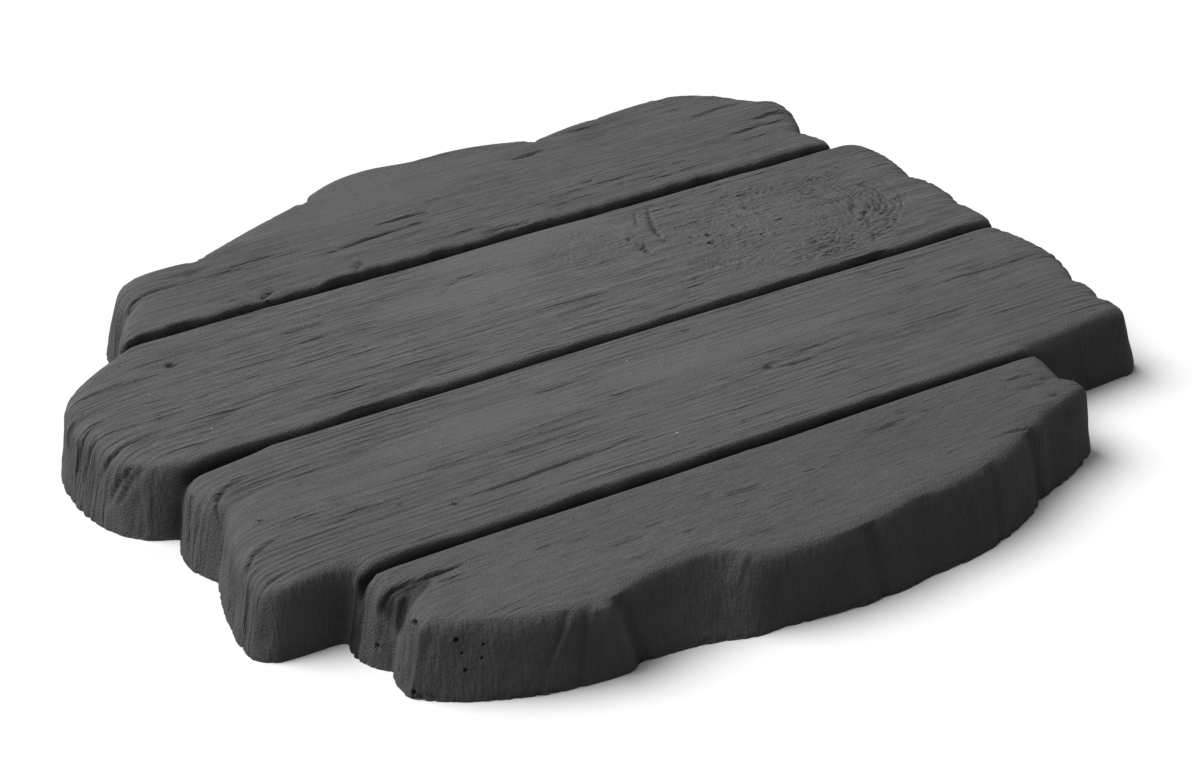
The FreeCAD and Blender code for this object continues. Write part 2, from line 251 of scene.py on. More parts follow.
# The stretch along the second plank in which its left end goes from worn round to as cast, and how far
# to the right that stretch lies on the third plank.
WORN_END = (-202.0, -178.0)
THIRD_END_SHIFT = 18.0

# Pitch of the close ridges on the second and third planks.
RIDGE_PITCH = 3.2

# Low and high corners of what gets more faces along the planks: the knot, and the back groove's far lip.
KNOT_STRETCH = ((48, MIDDLE_GROOVE + 6, TOP - 3), (194, BACK_GROOVE - 5, TOP + 1))
BACK_LIP_STRETCH = ((-150, BACK_GROOVE + 1.5, TOP - 8), (180, BACK_GROOVE + 7, TOP + 1))

# How far beside each kind of mark the mesh is made finer.
MARK_MARGIN = 0.8
BUBBLE_MARGIN = 1.0
END_BUBBLE_MARGIN = 1.2
NOTCH_MARGIN = 7

# How far up the normal of a face of the tops points, at the least.
FACING_UP = 0.3

# The blank is made too deep by this much, and then cut off level with the floor.
SPARE_DEPTH = 8.0

# Points of the casting's mesh that are closer than this are one point.
MERGE_DISTANCE = 0.001

# The finished mesh stays under this size.
MOST_TRIANGLES = 200000

# What the relief stores on the stone's points for its material, among them the grooves' upper depth, where
# the material paints shade.
MARKS = ("cut", "height", "side", "painted_groove_shade", "plain", "dashed", "rough", "share")

# Sockets of a mix of two colours.
MIX_FIRST = 6
MIX_SECOND = 7
MIX_RESULT = 2

# The floor's colour for the light that it throws back, and the white of the sky.
DIM_FLOOR = (0.15, 0.15, 0.15, 1.0)
WHITE = (1.0, 1.0, 1.0, 1.0)


class StoneSizes(bpy.types.PropertyGroup):
    """Sizes of the stone's mesh and of the relief pressed into it."""

    mesh_along: bpy.props.FloatProperty(
        name="Face Length", description="Length of the mesh's faces along the planks",
        default=4.65 * MM, min=1.0 * MM, unit="LENGTH")
    mesh_across: bpy.props.FloatProperty(
        name="Face Width", description="Width of the mesh's faces across the planks",
        default=0.84 * MM, min=0.5 * MM, unit="LENGTH")
    mesh_down: bpy.props.FloatProperty(
        name="Face Height", description="Height of the mesh's faces on the walls",
        default=2.6 * MM, min=0.5 * MM, unit="LENGTH")
    grain_depth: bpy.props.FloatProperty(
        name="Grain Depth", description="Depth of the broad streaks of the grain",
        default=0.45 * MM, min=0.0, unit="LENGTH")
    line_depth: bpy.props.FloatProperty(
        name="Line Depth", description="Depth of the dark lines between the growth rings",
        default=0.7 * MM, min=0.0, unit="LENGTH")
    knot_depth: bpy.props.FloatProperty(
        name="Knot Depth", description="Depth of the rings round the knot",
        default=1.0 * MM, min=0.0, unit="LENGTH")
    sag_depth: bpy.props.FloatProperty(
        name="Plank Unevenness", description="Height of the slow waves in the planks",
        default=0.6 * MM, min=0.0, unit="LENGTH")
    wall_depth: bpy.props.FloatProperty(
        name="Wall Unevenness", description="Height of the lumps in the walls",
        default=1.0 * MM, min=0.0, unit="LENGTH")
    foot_depth: bpy.props.FloatProperty(
        name="Ragged Foot", description="How far the foot of the walls is broken away",
        default=1.2 * MM, min=0.0, unit="LENGTH")


class StoneFinish(bpy.types.PropertyGroup):
    """Colours of the concrete."""

    concrete: bpy.props.FloatVectorProperty(
        name="Concrete", description="Colour of the plain concrete",
        default=(0.117, 0.117, 0.119), min=0.0, max=1.0, subtype="COLOR")
    speck: bpy.props.FloatVectorProperty(
        name="Specks", description="Colour of the pale grains of sand",
        default=(0.42, 0.42, 0.40), min=0.0, max=1.0, subtype="COLOR")
    roughness: bpy.props.FloatProperty(
        name="Roughness", description="Roughness of the dry concrete",
        default=0.9, min=0.0, max=1.0, subtype="FACTOR")


class StageLook(bpy.types.PropertyGroup):
    """Floor, light and camera."""

    floor_colour: bpy.props.FloatVectorProperty(
        name="Floor", description="Colour of the floor as it is seen",
        default=(0.98, 0.98, 0.98), min=0.0, max=1.0, subtype="COLOR")
    floor_size: bpy.props.FloatProperty(
        name="Floor Size", description="Length of the floor's sides",
        default=40.0, min=1.0, unit="LENGTH")
    lamp_strength: bpy.props.FloatProperty(
        name="Lamp Strength", description="Strength of the soft lamp overhead",
        default=3.27, min=0.0)
    lamp_spread: bpy.props.FloatProperty(
        name="Lamp Spread", description="Width of the lamp in the sky, which softens the shadows",
        default=math.radians(40), min=0.0, subtype="ANGLE")
    lamp_lean: bpy.props.FloatProperty(
        name="Lamp Lean", description="How far the lamp leans from straight overhead",
        default=math.radians(33), min=0.0, subtype="ANGLE")
    lamp_side: bpy.props.FloatProperty(
        name="Lamp Side", description="The way that the lamp leans, turned from the right",
        default=math.radians(150), subtype="ANGLE")
    sky_strength: bpy.props.FloatProperty(
        name="Sky Strength", description="Strength of the even light from all round",
        default=0.19, min=0.0)
    camera_place: bpy.props.FloatVectorProperty(
        name="Camera Place", description="Where the camera stands",
        default=(-0.5735, -0.9848, 0.7169), subtype="XYZ", unit="LENGTH")
    camera_turn: bpy.props.FloatVectorProperty(
        name="Camera Turn", description="The way that the camera looks",
        default=(math.radians(58), 0.0, math.radians(-30.5)), subtype="EULER", unit="ROTATION")
    camera_lens: bpy.props.FloatProperty(
        name="Focal Length", description="Focal length on a sensor 36 mm wide",
        default=91.0, min=1.0, unit="CAMERA")


def add_node(tree, kind, inputs=None, **settings):
    """A new node of a tree with its settings made and its inputs filled or linked."""
    node = tree.nodes.new(kind)
    for name, value in settings.items():
        setattr(node, name, value)
    for key, value in (inputs or {}).items():
        if isinstance(value, Field):
            tree.links.new(value.socket, node.inputs[key])
        else:
            node.inputs[key].default_value = value
    return node


class Field:
    """One number at every point of the stone. Arithmetic on it adds nodes to its tree."""

    def __init__(self, tree, socket):
        self.tree = tree
        self.socket = socket

    def math(self, operation, *others, clamp=False):
        inputs = dict(enumerate((self, *others)))
        node = add_node(self.tree, "ShaderNodeMath", inputs, operation=operation, use_clamp=clamp)
        return Field(self.tree, node.outputs[0])

    def __add__(self, other):
        return self.math("ADD", other)

    def __sub__(self, other):
        return self.math("SUBTRACT", other)

    def __mul__(self, other):
        return self.math("MULTIPLY", other)

    def __truediv__(self, other):
        return self.math("DIVIDE", other)

    def __abs__(self):
        return self.math("ABSOLUTE")

    def inverse(self):
        """One minus the field."""
        return self * -1.0 + 1.0

    def clamped(self):
        """The field held between 0 and 1."""
        return self.math("ADD", 0.0, clamp=True)

    def above(self, level):
        """1 where the field is above a level, and 0 elsewhere."""
        return self.math("GREATER_THAN", level)

    def ramp(self, start, end):
        """A smooth climb from 0 at the start to 1 at the end."""
        node = add_node(self.tree, "ShaderNodeMapRange",
                        {0: self, 1: start, 2: end}, interpolation_type="SMOOTHSTEP")
        return Field(self.tree, node.outputs[0])


def axes(tree, vector):
    """The three fields of a vector output."""
    node = tree.nodes.new("ShaderNodeSeparateXYZ")
    tree.links.new(vector, node.inputs[0])
    return [Field(tree, output) for output in node.outputs]


def combined(place, sizes):
    """A vector of a place's three fields, each divided by a size."""
    tree = place[0].tree
    inputs = {i: field / size for i, (field, size) in enumerate(zip(place, sizes))}
    return Field(tree, add_node(tree, "ShaderNodeCombineXYZ", inputs).outputs[0])


def noise(place, sizes, detail=1.0):
    """Smooth noise of about -1 to 1, with patches of the given sizes along a place's fields."""
    tree = place[0].tree
    inputs = {"Vector": combined(place, sizes), "Scale": 1.0, "Detail": detail}
    return (Field(tree, add_node(tree, "ShaderNodeTexNoise", inputs).outputs[0]) - 0.5) * 3.0


class Surface:
    """Where a point of the stone is, in millimetres, and which way it faces."""

    def __init__(self, tree, position, normal):
        self.x, self.y, self.z = [field / MM for field in axes(tree, position)]
        self.facing_x, self.facing_y, self.facing_z = axes(tree, normal)
        self.down = self.z * -1.0 + TOP
        # The grain runs over the planks' ends and down them, so its length is measured round the edge.
        self.along = self.x + self.down * self.x.math("SIGN")
        # Each plank takes its grain from another part of the noise.
        shifts = [self.y.above(groove) * shift for groove, shift in zip(GROOVES, GRAIN_SHIFTS)]
        self.plank = shifts[0] + shifts[1] + shifts[2]
        # The grain is in short dashes on the front plank, and long on the others.
        self.dashed = self.y.above(FRONT_GROOVE).inverse()
        self.third = between(self.y, FRONT_GROOVE, MIDDLE_GROOVE, 1.0)
        # How much the point is on the tops, on faces without grain, on the walls, in front and at the back.
        self.top = self.facing_z.ramp(0.35, 0.8)
        self.plain = abs(self.facing_y).ramp(0.15, 0.5)
        self.wall = self.top.inverse() * self.facing_z.ramp(-0.98, -0.85)
        self.front = (self.facing_y * -1.0).ramp(0.25, 0.6) * self.y.ramp(*FRONT_WALL).inverse()
        self.front = self.front * self.facing_z.ramp(0.75, 0.92).inverse()
        self.back = self.y.ramp(*BACK_WALL) * self.facing_y.ramp(0.1, 0.4)
        # How far the nearest groove's middle is, and whether the point is down in it.
        gaps = [abs(self.y - groove) for groove in GROOVES]
        self.groove = gaps[0].math("MINIMUM", gaps[1]).math("MINIMUM", gaps[2])
        self.in_groove = self.groove.ramp(4.0, 6.0).inverse()
        self.in_groove = self.in_groove * self.z.ramp(TOP - 6.5, TOP - 3.0).inverse()
        self.side = abs(self.facing_y).ramp(0.45, 0.85) * self.top.inverse() * self.groove.ramp(5.0, 8.0)
        # The far lips of the grooves, which are more worn than the near ones.
        lips = [between(self.y, groove + 2.5, groove + 5.5, 2.0) for groove in GROOVES]
        self.lip = (lips[0] + lips[1] + lips[2]) * self.z.ramp(*LIP_HEIGHTS)


def between(field, low, high, soft):
    """1 between two levels, with soft ends outside them."""
    return field.ramp(low - soft, low) * field.ramp(high, high + soft).inverse()


def oval(surface, along, across, length, width):
    """0 in the middle of an oval patch and 1 at its edge, by the square of the distance."""
    dx = (surface.x - along) / length
    dy = (surface.y - across) / width
    return dx * dx + dy * dy


def grain_share(surface):
    """How much of the grain is left: it wanders, and is least in the patches that are worn smooth."""
    place = (surface.x, surface.y, surface.plank)
    wander = noise(place, (18, 9, 1), 1.0) * 0.25
    smooth = surface.x * 0.0
    for patch in SMOOTH_PATCHES.values():
        smooth = smooth.math("MAXIMUM", (oval(surface, *patch) + wander).ramp(0.4, 1.3).inverse())
    return (noise(place, (70, 26, 1), 1.0) * 0.35 + 1.1) * (smooth * -0.6 + 1.0)


def knot_distance(surface):
    """Distance from the knot's middle: 1 at its outer ring, with a wander."""
    place = (surface.x, surface.y, surface.plank)
    dx = (surface.x - KNOT_ALONG + noise(place, (14, 14, 1)) * 4.0) / KNOT_LENGTH
    dy = (surface.y - KNOT_ACROSS + noise(place, (21, 13, 1)) * 3.0) / KNOT_WIDTH
    return (dx * dx + dy * dy).math("SQRT")


def plank_grain(surface, sizes, knot, share):
    """Height of the grain in millimetres, and how deep its dark lines are cut."""
    away = surface.y - KNOT_ACROSS
    pull = (knot * knot * -0.8).math("EXPONENT") * 0.45
    place = (surface.along, surface.y, surface.plank)
    drift = noise(place, (150, 60, 1)) * 5.0 + noise(place, (45, 18, 1)) * 1.2
    across = surface.y + drift - away * pull
    grain = (surface.along * (surface.dashed * 1.6 + 1.0), across, surface.plank)
    straight = knot.ramp(0.7, 1.15) * surface.plain.inverse() * share
    streaks = noise(grain, (110, 5.0, 1), 2.0) * 0.6 + noise(grain, (38, 1.5, 1), 1.0)
    smooth = surface.y.ramp(FRONT_GROOVE - 4, FRONT_GROOVE + 4) * 0.4 + 0.6
    rings = abs(noise(grain, (190, 8.0, 1)))
    lines = rings.ramp(0.0, 0.08).inverse() * noise(grain, (50, 12, 1)).ramp(-0.1, 0.4)
    depth = lines * straight * (sizes.line_depth / MM)
    height = streaks * smooth * (sizes.grain_depth / MM)
    return height * straight, depth


def knot_rings(surface, sizes, knot):
    """The knot and the dents beside it: their height, the depth of their cuts, and how rough they are."""
    place = (surface.x, surface.y, surface.plank)
    inside = knot.ramp(1.0, 1.3).inverse() * between(surface.y, MIDDLE_GROOVE + 7, BACK_GROOVE - 7, 4.0)
    phase = knot * (math.pi * KNOT_RINGS) + noise(place, (10, 10, 1)) * 0.8
    wave = abs(phase.math("SINE")).inverse()
    gate = noise(place, (9, 10, 1)).ramp(-0.45, 0.15)
    right = surface.x.ramp(KNOT_ALONG + 5, KNOT_ALONG + 35)
    low = surface.y.ramp(KNOT_ACROSS - 20, KNOT_ACROSS - 6).inverse()
    strength = right.math("MAXIMUM", low * 0.4) * 0.95 + 0.2
    patches = noise(place, (22, 14, 1)).ramp(-0.8, 0.2) * (right * -0.7 + 1.0) * inside
    height = noise(place, (4, 3, 1), 2.0) * patches * 0.75 - (wave - 0.35) * inside * strength * 0.6
    depth = wave.math("POWER", 1.4) * gate * strength * inside
    dented = oval(surface, *DENTS).ramp(0.4, 1.2).inverse()
    height = height + noise(place, (6, 5, 1), 1.0) * dented * 0.5
    rough = patches.math("MAXIMUM", dented * 0.8) * surface.top
    dents = noise(place, (3.4, 2.6, 1), 1.0).ramp(0.35, 0.75) * rough * 0.9
    depth = depth.math("MAXIMUM", dents) * surface.top
    return height * surface.top * (sizes.knot_depth / MM), depth * (sizes.knot_depth / MM), rough


def crack_group():
    """A node group that gives the depth of one straight stretch of a crack.

    The crack thins out at both its ends, is steep at the back and slopes more gently at the front.
    """
    tree = bpy.data.node_groups.new("crack_stretch", "GeometryNodeTree")
    names = ("Along", "Across", "From Along", "From Across", "Reach Along", "Reach Across",
             "Half Width", "Depth", "Start Share", "Share")
    for name in names:
        tree.interface.new_socket(name, in_out="INPUT", socket_type="NodeSocketFloat")
    tree.interface.new_socket("Cut", in_out="OUTPUT", socket_type="NodeSocketFloat")
    sockets = tree.nodes.new("NodeGroupInput").outputs
    (along, across, from_along, from_across, reach_along, reach_across,
     half_width, depth, start, share) = [Field(tree, sockets[name]) for name in names]
    dx = along - from_along
    dy = across - from_across
    length_squared = reach_along * reach_along + reach_across * reach_across
    t = ((dx * reach_along + dy * reach_across) / length_squared).clamped()
    off_x = dx - reach_along * t
    off_y = dy - reach_across * t
    away = (off_x * off_x + off_y * off_y).math("SQRT")
    in_front = (dx * reach_across - dy * reach_along).above(0.0)
    away = away * (in_front * -0.4 + 1.0)
    gone = start + share * t
    taper = (gone * gone.inverse() * 4.0).math("SQRT")
    cut = (away / (half_width * taper + 0.05)).inverse().math("MAXIMUM", 0.0) * taper * depth
    tree.links.new(cut.socket, tree.nodes.new("NodeGroupOutput").inputs[0])
    return tree


def crack_depth(surface, group):
    """Depth of all the cracks."""
    tree = surface.x.tree
    place = (surface.along, surface.y, surface.plank)
    across = surface.y + noise(place, (9, 9, 1), 1.0) * 0.5
    cut = surface.x * 0.0
    for half_width, depth, points in CRACKS.values():
        share = 1.0 / (len(points) - 1)
        for i, (start, end) in enumerate(zip(points, points[1:])):
            inputs = {
                "Along": surface.along, "Across": across,
                "From Along": start[0], "From Across": start[1],
                "Reach Along": end[0] - start[0], "Reach Across": end[1] - start[1],
                "Half Width": half_width, "Depth": depth, "Start Share": i * share, "Share": share,
            }
            node = add_node(tree, "GeometryNodeGroup", inputs, node_tree=group)
            cut = cut.math("MAXIMUM", Field(tree, node.outputs[0]))
    return cut * surface.side.inverse()


def pit_depth(surface):
    """Depth of all the holes in the tops and the air bubbles in the front wall and the left end."""
    cut = surface.x * 0.0
    for along, across, radius, share in PITS.values():
        pit = hollow((surface.x - along, surface.y - across), radius, share)
        cut = cut.math("MAXIMUM", pit * surface.top)
    for along, up, radius, share in BUBBLES.values():
        pit = hollow(((surface.x - along) * 1.3, surface.z - up), radius, share)
        cut = cut.math("MAXIMUM", pit * surface.front)
    for along, across, up, radius, share in END_BUBBLES.values():
        pit = hollow((surface.x - along, surface.y - across, surface.z - up), radius, share)
        cut = cut.math("MAXIMUM", pit)
    return cut


def hollow(offsets, radius, share):
    """Depth of one round hollow, from a point's offsets from its middle."""
    squares = offsets[0] * 0.0
    for offset in offsets:
        squares = squares + offset * offset
    reach = squares / (radius * radius)
    return reach.inverse().math("MAXIMUM", 0.0).math("SQRT") * (radius * share)


def wall_shape(surface, sizes):
    """Height of the lumps, upright streaks, creases and broken foot of the walls, in millimetres."""
    place = (surface.x, surface.y, surface.z)
    lumps = noise(place, (26, 26, 40), 2.0) * (sizes.wall_depth / MM)
    lean = surface.x - surface.down * 0.15
    streaks = noise((lean, surface.y, surface.z), (2.6, 40, 50), 2.0) * surface.side * 0.2
    end = abs(surface.facing_x).ramp(0.35, 0.7) * (surface.third * -0.5 + 1.0)
    end = end * (surface.x.ramp(-20.0, 20.0) * -0.6 + 1.0)
    flutes = noise((surface.y, surface.along, surface.plank), (4.0, 45, 1), 2.0) * end
    broken = noise(place, (3.5, 3.5, 6), 2.0) * 0.7 + noise(place, (13, 13, 20), 1.0) * 0.6
    foot = surface.z.ramp(0.5, 4.0).inverse() * broken.ramp(-0.1, 0.9)
    height = lumps + streaks + flutes - foot * (sizes.foot_depth / MM)
    for along, half_width, depth, slant in CREASES.values():
        off = (surface.x - along - surface.down * slant) / half_width
        height = height - (off * off * -1.0).math("EXPONENT") * surface.front * depth
    height = height * surface.wall
    height = height - noise(place, (6, 30, 30), 2.0).ramp(0.1, 0.9) * surface.back * 0.9
    for along, half_width, depth in NOTCHES.values():
        off = (surface.x - along) / half_width
        height = height - (off * off * -1.0).math("EXPONENT") * surface.back * depth
    return height


def smoothed(tree, geometry, weight, passes, only_height=False):
    """The mesh with its points drawn towards their neighbours, by a weight."""
    position = tree.nodes.new("GeometryNodeInputPosition").outputs[0]
    blur = add_node(tree, "GeometryNodeBlurAttribute", {"Iterations": passes, "Weight": weight},
                    data_type="FLOAT_VECTOR")
    tree.links.new(position, blur.inputs[0])
    goal = blur.outputs[0]
    if only_height:
        goal = combined((*axes(tree, position)[:2], axes(tree, goal)[2]), (1, 1, 1)).socket
    move = tree.nodes.new("GeometryNodeSetPosition")
    tree.links.new(geometry, move.inputs["Geometry"])
    tree.links.new(goal, move.inputs["Position"])
    return move.outputs[0]


def worn_casting(tree, geometry, surface):
    """The casting with its edges eased and the left ends of its two middle planks worn round."""
    off_floor = surface.z.ramp(2.0, 10.0)
    geometry = smoothed(tree, geometry, surface.groove.ramp(7.0, 14.0) * off_floor * 0.6, 3)
    middle = between(surface.y, FRONT_GROOVE, BACK_GROOVE, 1.0)
    worn = (surface.x - surface.third * THIRD_END_SHIFT).ramp(*WORN_END).inverse() * middle
    worn = worn * between(surface.y, MIDDLE_GROOVE, 6.0, 6.0).inverse()
    worn = worn * surface.y.ramp(FRONT_GROOVE + 10.0, FRONT_GROOVE + 20.0)
    return smoothed(tree, geometry, worn * off_floor, 36, only_height=True)


def ragged_lips(surface):
    """How far the grooves' far lips wander to the back, in metres. The back groove's is worn the most."""
    line = (surface.x, surface.plank, surface.plank)
    back_lip = surface.y.above(BACK_GROOVE)
    ragged = noise(line, (13, 1, 1), 2.0) * (back_lip * 0.9 + 0.7)
    ragged = ragged + noise(line, (4.5, 1, 1), 1.0) * (back_lip * 0.6 + 0.1)
    worn_lip = between(surface.y, BACK_GROOVE + 3.0, BACK_GROOVE + 5.0, 6.0) * back_lip
    worn_lip = worn_lip * surface.z.ramp(*LIP_HEIGHTS) * noise(line, (40, 1, 1), 1.0).ramp(-1.0, 0.6)
    return (ragged * surface.lip + worn_lip * 1.8) * MM


def relief_tree(sizes):
    """Geometry nodes that wear the casting round and press its grain, knot, cracks and pits into it."""
    tree = bpy.data.node_groups.new("pressed_relief", "GeometryNodeTree")
    tree.interface.new_socket("Geometry", in_out="INPUT", socket_type="NodeSocketGeometry")
    tree.interface.new_socket("Geometry", in_out="OUTPUT", socket_type="NodeSocketGeometry")
    position = tree.nodes.new("GeometryNodeInputPosition").outputs[0]
    normal = tree.nodes.new("GeometryNodeInputNormal").outputs[0]
    surface = Surface(tree, position, normal)
    geometry = worn_casting(tree, tree.nodes.new("NodeGroupInput").outputs[0], surface)

    knot = knot_distance(surface)
    share = grain_share(surface)
    grain, lines = plank_grain(surface, sizes, knot, share)
    heart, rings, rough = knot_rings(surface, sizes, knot)
    cut = crack_depth(surface, crack_group()).math("MAXIMUM", pit_depth(surface))
    cut = cut.math("MAXIMUM", lines).math("MAXIMUM", rings)
    place = (surface.x, surface.y, surface.plank)
    sag = noise(place, (90, 45, 1)) * surface.top * (sizes.sag_depth / MM)
    height = grain * surface.z.ramp(2.0, 14.0) + heart + wall_shape(surface, sizes) + sag
    above_floor = surface.facing_z.ramp(-0.95, -0.7)
    moved = (height - cut) * above_floor * MM
    offset = add_node(tree, "ShaderNodeVectorMath", {"Scale": moved}, operation="SCALE")
    tree.links.new(normal, offset.inputs[0])
    out_x, out_y, out_z = axes(tree, offset.outputs[0])
    home_x, home_y, home_z = axes(tree, position)
    goal_y = home_y + out_y + ragged_lips(surface)
    goal_z = (home_z + out_z).math("MAXIMUM", 0.0)
    goal = combined((home_x + out_x, goal_y, goal_z), (1, 1, 1))

    # The grooves' upper depth is stored for the painted shade in the grooves.
    stored = (cut, height, surface.side, surface.in_groove, surface.plain, surface.dashed, rough, share)
    for name, field in zip(MARKS, stored):
        store = add_node(tree, "GeometryNodeStoreNamedAttribute", {"Name": name, "Value": field},
                         data_type="FLOAT", domain="POINT")
        tree.links.new(geometry, store.inputs["Geometry"])
        geometry = store.outputs[0]
    press = add_node(tree, "GeometryNodeSetPosition", {"Position": goal})
    tree.links.new(geometry, press.inputs["Geometry"])
    tree.links.new(press.outputs[0], tree.nodes.new("NodeGroupOutput").inputs[0])
    return tree


def rows(elements, name, width, kind=float):
    """A property of all a mesh's faces, edges or points, as rows of numbers."""
    values = np.empty(len(elements) * width, dtype=kind)
    elements.foreach_get(name, values)
    return values.reshape(-1, width)


def faces(stone):
    """The middles of the stone's faces, in millimetres, and their normals."""
    polygons = stone.data.polygons
    return rows(polygons, "center", 3) / MM, rows(polygons, "normal", 3)


def select_all_points():
    """Opens edit mode with the whole mesh selected."""
    bpy.ops.object.mode_set(mode="EDIT")
    bpy.ops.mesh.select_all(action="SELECT")


def select_only(stone, kind, wanted):
    """Opens edit mode with only the wanted faces or edges selected."""
    bpy.ops.object.mode_set(mode="EDIT")
    bpy.ops.mesh.select_mode(type=kind)
    bpy.ops.mesh.select_all(action="DESELECT")
    bpy.ops.object.mode_set(mode="OBJECT")
    elements = {"FACE": stone.data.polygons, "EDGE": stone.data.edges}[kind]
    elements.foreach_set("select", wanted)
    bpy.ops.object.mode_set(mode="EDIT")


def subdivide(stone, kind, wanted, cuts):
    """Divides the wanted faces or edges."""
    select_only(stone, kind, wanted)
    bpy.ops.mesh.subdivide(number_cuts=cuts)
    bpy.ops.object.mode_set(mode="OBJECT")


def add_modifier(stone, kind, **settings):
    """Adds a modifier to the stone and applies it."""
    bpy.ops.object.modifier_add(type=kind)
    modifier = stone.modifiers[-1]
    for name, value in settings.items():
        setattr(modifier, name, value)
    bpy.ops.object.modifier_apply(modifier=modifier.name)


def cast_blank(sizes):
    """An even mesh of the casting, with faces that are long along the grain."""
    bpy.ops.object.select_all(action="DESELECT")
    stone = bpy.data.objects.new(STONE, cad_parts[CASTING].data.copy())
    bpy.context.collection.objects.link(stone)
    stone.select_set(True)
    bpy.context.view_layer.objects.active = stone
    squeeze = (sizes.mesh_across / sizes.mesh_along, 1.0, sizes.mesh_across / sizes.mesh_down)
    stretch = [1.0 / share for share in squeeze]
    select_all_points()
    bpy.ops.mesh.remove_doubles(threshold=MERGE_DISTANCE * MM)
    bpy.ops.object.mode_set(mode="OBJECT")
    underside = faces(stone)[1][:, 2] < -0.9
    select_only(stone, "FACE", underside)
    bpy.ops.mesh.extrude_region_move(TRANSFORM_OT_translate={"value": (0.0, 0.0, -SPARE_DEPTH * MM)})
    bpy.ops.mesh.select_all(action="SELECT")
    bpy.ops.transform.resize(value=squeeze, center_override=(0.0, 0.0, 0.0))
    bpy.ops.object.mode_set(mode="OBJECT")
    add_modifier(stone, "REMESH", mode="VOXEL", voxel_size=sizes.mesh_across)
    select_all_points()
    bpy.ops.transform.resize(value=stretch, center_override=(0.0, 0.0, 0.0))
    bpy.ops.object.mode_set(mode="OBJECT")
    return stone


def close_underside():
    """Cuts the mesh off level with the floor and closes it there with one face."""
    select_all_points()
    bpy.ops.mesh.bisect(plane_co=(0.0, 0.0, 0.0), plane_no=(0.0, 0.0, 1.0),
                        use_fill=True, clear_inner=True)
    bpy.ops.object.mode_set(mode="OBJECT")


def near_crack(places, half_width, points):
    """Which places lie on a crack or close beside it."""
    along = places[:, 0] + np.sign(places[:, 0]) * (TOP - places[:, 2])
    near = np.zeros(len(places), dtype=bool)
    for start, end in zip(points, points[1:]):
        reach = np.subtract(end, start)
        off = np.stack((along, places[:, 1]), axis=1) - start
        t = np.clip(off @ reach / (reach @ reach), 0.0, 1.0)
        near |= np.linalg.norm(off - t[:, None] * reach, axis=1) < half_width * 1.6 + MARK_MARGIN
    return near


def near_pits(stone, pits):
    """Which of the tops' faces lie on the given holes or close beside them."""
    places, normals = faces(stone)
    near = np.zeros(len(places), dtype=bool)
    for along, across, radius, _ in pits:
        near |= np.hypot(places[:, 0] - along, places[:, 1] - across) < radius + MARK_MARGIN
    return near & (normals[:, 2] > FACING_UP)


def near_bubbles(stone):
    """Which faces lie on the air bubbles or close beside them."""
    places, normals = faces(stone)
    in_front = (normals[:, 1] < -0.3) & (places[:, 1] < sum(FRONT_WALL) / 2)
    near = np.zeros(len(places), dtype=bool)
    for along, up, radius, _ in BUBBLES.values():
        near |= np.hypot(places[:, 0] - along, places[:, 2] - up) < radius + BUBBLE_MARGIN
    near &= in_front
    for *middle, radius, _ in END_BUBBLES.values():
        near |= np.linalg.norm(places - middle, axis=1) < radius + END_BUBBLE_MARGIN
    return near


def subdivide_along(stone, low, high, cuts):
    """Divides the top's faces between two corners, in millimetres, along the planks only."""
    points = rows(stone.data.vertices, "co", 3) / MM
    ends = rows(stone.data.edges, "vertices", 2, np.int32)
    first, last = points[ends[:, 0]], points[ends[:, 1]]
    middle = (first + last) / 2
    reach = np.abs(last - first)
    inside = np.all((middle > low) & (middle < high), axis=1)
    subdivide(stone, "EDGE", inside & (reach[:, 0] > reach[:, 1] * 2), cuts)


def refine_marks(stone):
    """Gives the knot, the back lip, the front wall, cracks, notches, holes and bubbles a finer mesh."""
    subdivide_along(stone, *KNOT_STRETCH, 2)
    subdivide_along(stone, *BACK_LIP_STRETCH, 1)
    places, normals = faces(stone)
    fine = (normals[:, 1] < -0.4) & (places[:, 1] < sum(FRONT_WALL) / 2) & (places[:, 2] > 0.5)
    back_edge = (normals[:, 1] > 0.1) & (places[:, 1] > BACK_WALL[0])
    for along, _, _ in NOTCHES.values():
        fine |= (np.abs(places[:, 0] - along) < NOTCH_MARGIN) & back_edge
    for half_width, _, points in CRACKS.values():
        fine |= near_crack(places, half_width, points) & (normals[:, 2] > FACING_UP)
    subdivide(stone, "FACE", fine, 1)
    subdivide(stone, "FACE", near_pits(stone, PITS.values()), 2)
    subdivide(stone, "FACE", near_pits(stone, [PITS["front_plank_hole"]]), 1)
    subdivide(stone, "FACE", near_bubbles(stone), 3)


def new_material(name):
    """A new material with its node tree and its shader."""
    material = bpy.data.materials.new(name)
    material.use_nodes = True
    return material, material.node_tree, material.node_tree.nodes["Principled BSDF"]


def attribute(tree, name):
    """A field that is stored on the stone's points."""
    return Field(tree, add_node(tree, "ShaderNodeAttribute", attribute_name=name).outputs["Fac"])


def painted_light_falloff(place, side):
    """Painted light falloff on the bare concrete, plank by plank: lighter towards the back, on the second
    plank and at the back plank's left, with a painted pool of light in the middle of the stone and painted
    shade towards the right, most on the front plank and on the side walls.
    """
    along, across = place[:2]
    front = across.ramp(FRONT_GROOVE - 5.0, FRONT_GROOVE + 5.0).inverse()
    second = between(across, MIDDLE_GROOVE, BACK_GROOVE, 2.0)
    back = across.ramp(BACK_GROOVE - 5.0, BACK_GROOVE + 5.0)
    back_left = back * along.ramp(-150.0, -40.0).inverse()
    # Painted light: a pool of light in the middle, and painted shade towards the right on the front plank
    # and on the side walls.
    middle = (along * along * (-1.0 / 26000.0)).math("EXPONENT") * between(across, -100.0, 80.0, 25.0)
    slope = along.ramp(-150.0, 150.0) * (front * 0.075 + 0.03)
    tone = across.ramp(-170.0, 40.0) * 0.09 + back * 0.035
    tone = tone + middle * 0.12 + front * 0.012 - slope - side * along.ramp(-120.0, 60.0) * 0.1 + 0.89
    return tone + second * 0.08 + back_left * 0.05


